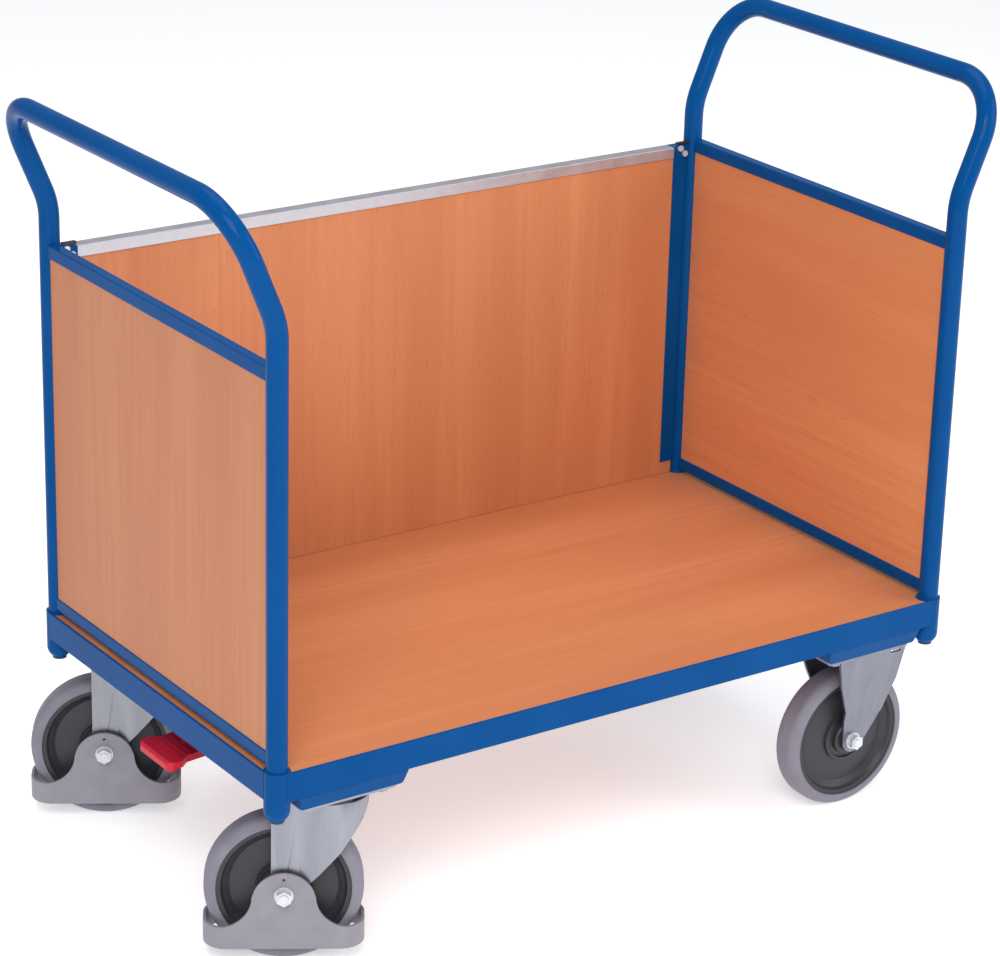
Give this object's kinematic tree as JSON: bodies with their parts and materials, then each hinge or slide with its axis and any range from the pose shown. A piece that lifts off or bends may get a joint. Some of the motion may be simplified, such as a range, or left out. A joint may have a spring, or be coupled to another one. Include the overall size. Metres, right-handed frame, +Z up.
{
  "type": "platform trolley",
  "caption": "Three-walled steel platform trolley with boarded ends and back, push bows, swivel and fixed castors and a pedal brake.",
  "frame": {"origin": "on the floor, under the centre of the whole trolley's box", "axes": "+X from the swivel castors to the fixed castors, +Y to the back wall, +Z up"},
  "size_m": [1.1798, 0.6362, 1.0215],
  "materials": {
    "blue_paint": "gloss powder coat, gentian blue",
    "beech_board": "beech-coloured laminate board",
    "zinc_steel": "zinc-plated pressed steel",
    "bright_steel": "ground steel",
    "cap_aluminium": "satin",
    "grey_tyre": "grey thermoplastic rubber",
    "rim_plastic": "anthracite plastic",
    "guard_plastic": "grey moulded plastic",
    "black_plastic": "black moulded plastic",
    "red_plastic": "red moulded plastic"
  },
  "bodies": {
    "chassis": {"rail_front": "blue_paint", "rail_back": "blue_paint", "rail_left": "blue_paint", "rail_right": "blue_paint", "corner_sockets": "blue_paint", "castor_pad_left": "blue_paint", "castor_pad_right": "blue_paint", "deck_bearers": "blue_paint", "push_bow_left": "blue_paint", "push_bow_right": "blue_paint", "top_bar_left": "blue_paint", "top_bar_right": "blue_paint", "low_bar_left": "blue_paint", "low_bar_right": "blue_paint", "back_channel_left": "blue_paint", "back_channel_right": "blue_paint", "back_clips": "blue_paint", "deck_board": "beech_board", "end_board_left": "beech_board", "end_board_right": "beech_board", "back_board": "beech_board", "back_cap": "cap_aluminium", "socket_plugs": "black_plastic", "clip_hooks": "black_plastic", "back_clip_bolts": "zinc_steel", "plate_bolts": "zinc_steel", "plate_nuts": "zinc_steel", "swivel_plates": "zinc_steel", "kingpins": "zinc_steel", "fixed_brackets": "zinc_steel", "fixed_axles": "zinc_steel", "shaft_bearings": "zinc_steel"},
    "swivel_front": {"fork_front": "zinc_steel", "race_seal_front": "black_plastic", "race_balls_front": "bright_steel", "brake_leaf_front": "zinc_steel", "foot_guard_front": "guard_plastic", "swivel_axle_front": "zinc_steel"},
    "swivel_back": {"fork_back": "zinc_steel", "race_seal_back": "black_plastic", "race_balls_back": "bright_steel", "brake_leaf_back": "zinc_steel", "foot_guard_back": "guard_plastic", "swivel_axle_back": "zinc_steel"},
    "brake": {"brake_shaft": "zinc_steel", "brake_pedal": "red_plastic"},
    "plunger_front": {"plunger_front": "zinc_steel"},
    "plunger_back": {"plunger_back": "zinc_steel"},
    "wheel_swivel_front": {"rim_swivel_front": "rim_plastic", "tyre_swivel_front": "grey_tyre", "wheel_bushes_swivel_front": "bright_steel"},
    "wheel_swivel_back": {"rim_swivel_back": "rim_plastic", "tyre_swivel_back": "grey_tyre", "wheel_bushes_swivel_back": "bright_steel"},
    "wheel_fixed_front": {"rim_fixed_front": "rim_plastic", "tyre_fixed_front": "grey_tyre", "wheel_bushes_fixed_front": "bright_steel"},
    "wheel_fixed_back": {"rim_fixed_back": "rim_plastic", "tyre_fixed_back": "grey_tyre", "wheel_bushes_fixed_back": "bright_steel"}
  },
  "joints": [
    {"name": "swivel_front", "type": "hinge", "parent": "chassis", "child": "swivel_front", "pos_m": [-0.414, -0.25312, 0.23], "axis": [0, 0, 1], "continuous": true},
    {"name": "roll_swivel_front", "type": "hinge", "parent": "swivel_front", "child": "wheel_swivel_front", "pos_m": [-0.46029, -0.22531, 0.1], "axis": [0.515, 0.8572, 0], "continuous": true},
    {"name": "roll_fixed_front", "type": "hinge", "parent": "chassis", "child": "wheel_fixed_front", "pos_m": [0.414, -0.25312, 0.1], "axis": [0, 1, 0], "continuous": true},
    {"name": "swivel_back", "type": "hinge", "parent": "chassis", "child": "swivel_back", "pos_m": [-0.414, 0.21688, 0.23], "axis": [0, 0, 1], "continuous": true},
    {"name": "roll_swivel_back", "type": "hinge", "parent": "swivel_back", "child": "wheel_swivel_back", "pos_m": [-0.46029, 0.24469, 0.1], "axis": [0.515, 0.8572, 0], "continuous": true},
    {"name": "roll_fixed_back", "type": "hinge", "parent": "chassis", "child": "wheel_fixed_back", "pos_m": [0.414, 0.21688, 0.1], "axis": [0, 1, 0], "continuous": true},
    {"name": "pedal", "type": "hinge", "parent": "chassis", "child": "brake", "pos_m": [-0.414, -0.01812, 0.264], "axis": [0, -1, 0], "range_deg": [0, 25]},
    {"name": "plunger_front", "type": "slide", "parent": "chassis", "child": "plunger_front", "axis": [0, 0, -1], "range_m": [0, 0.0036]},
    {"name": "plunger_back", "type": "slide", "parent": "chassis", "child": "plunger_back", "axis": [0, 0, -1], "range_m": [0, 0.0036]}
  ],
  "couplings": [
    {"joint": "plunger_front", "follows": "pedal", "m_per_rad": 0.0082},
    {"joint": "plunger_back", "follows": "pedal", "m_per_rad": 0.0082}
  ]
}
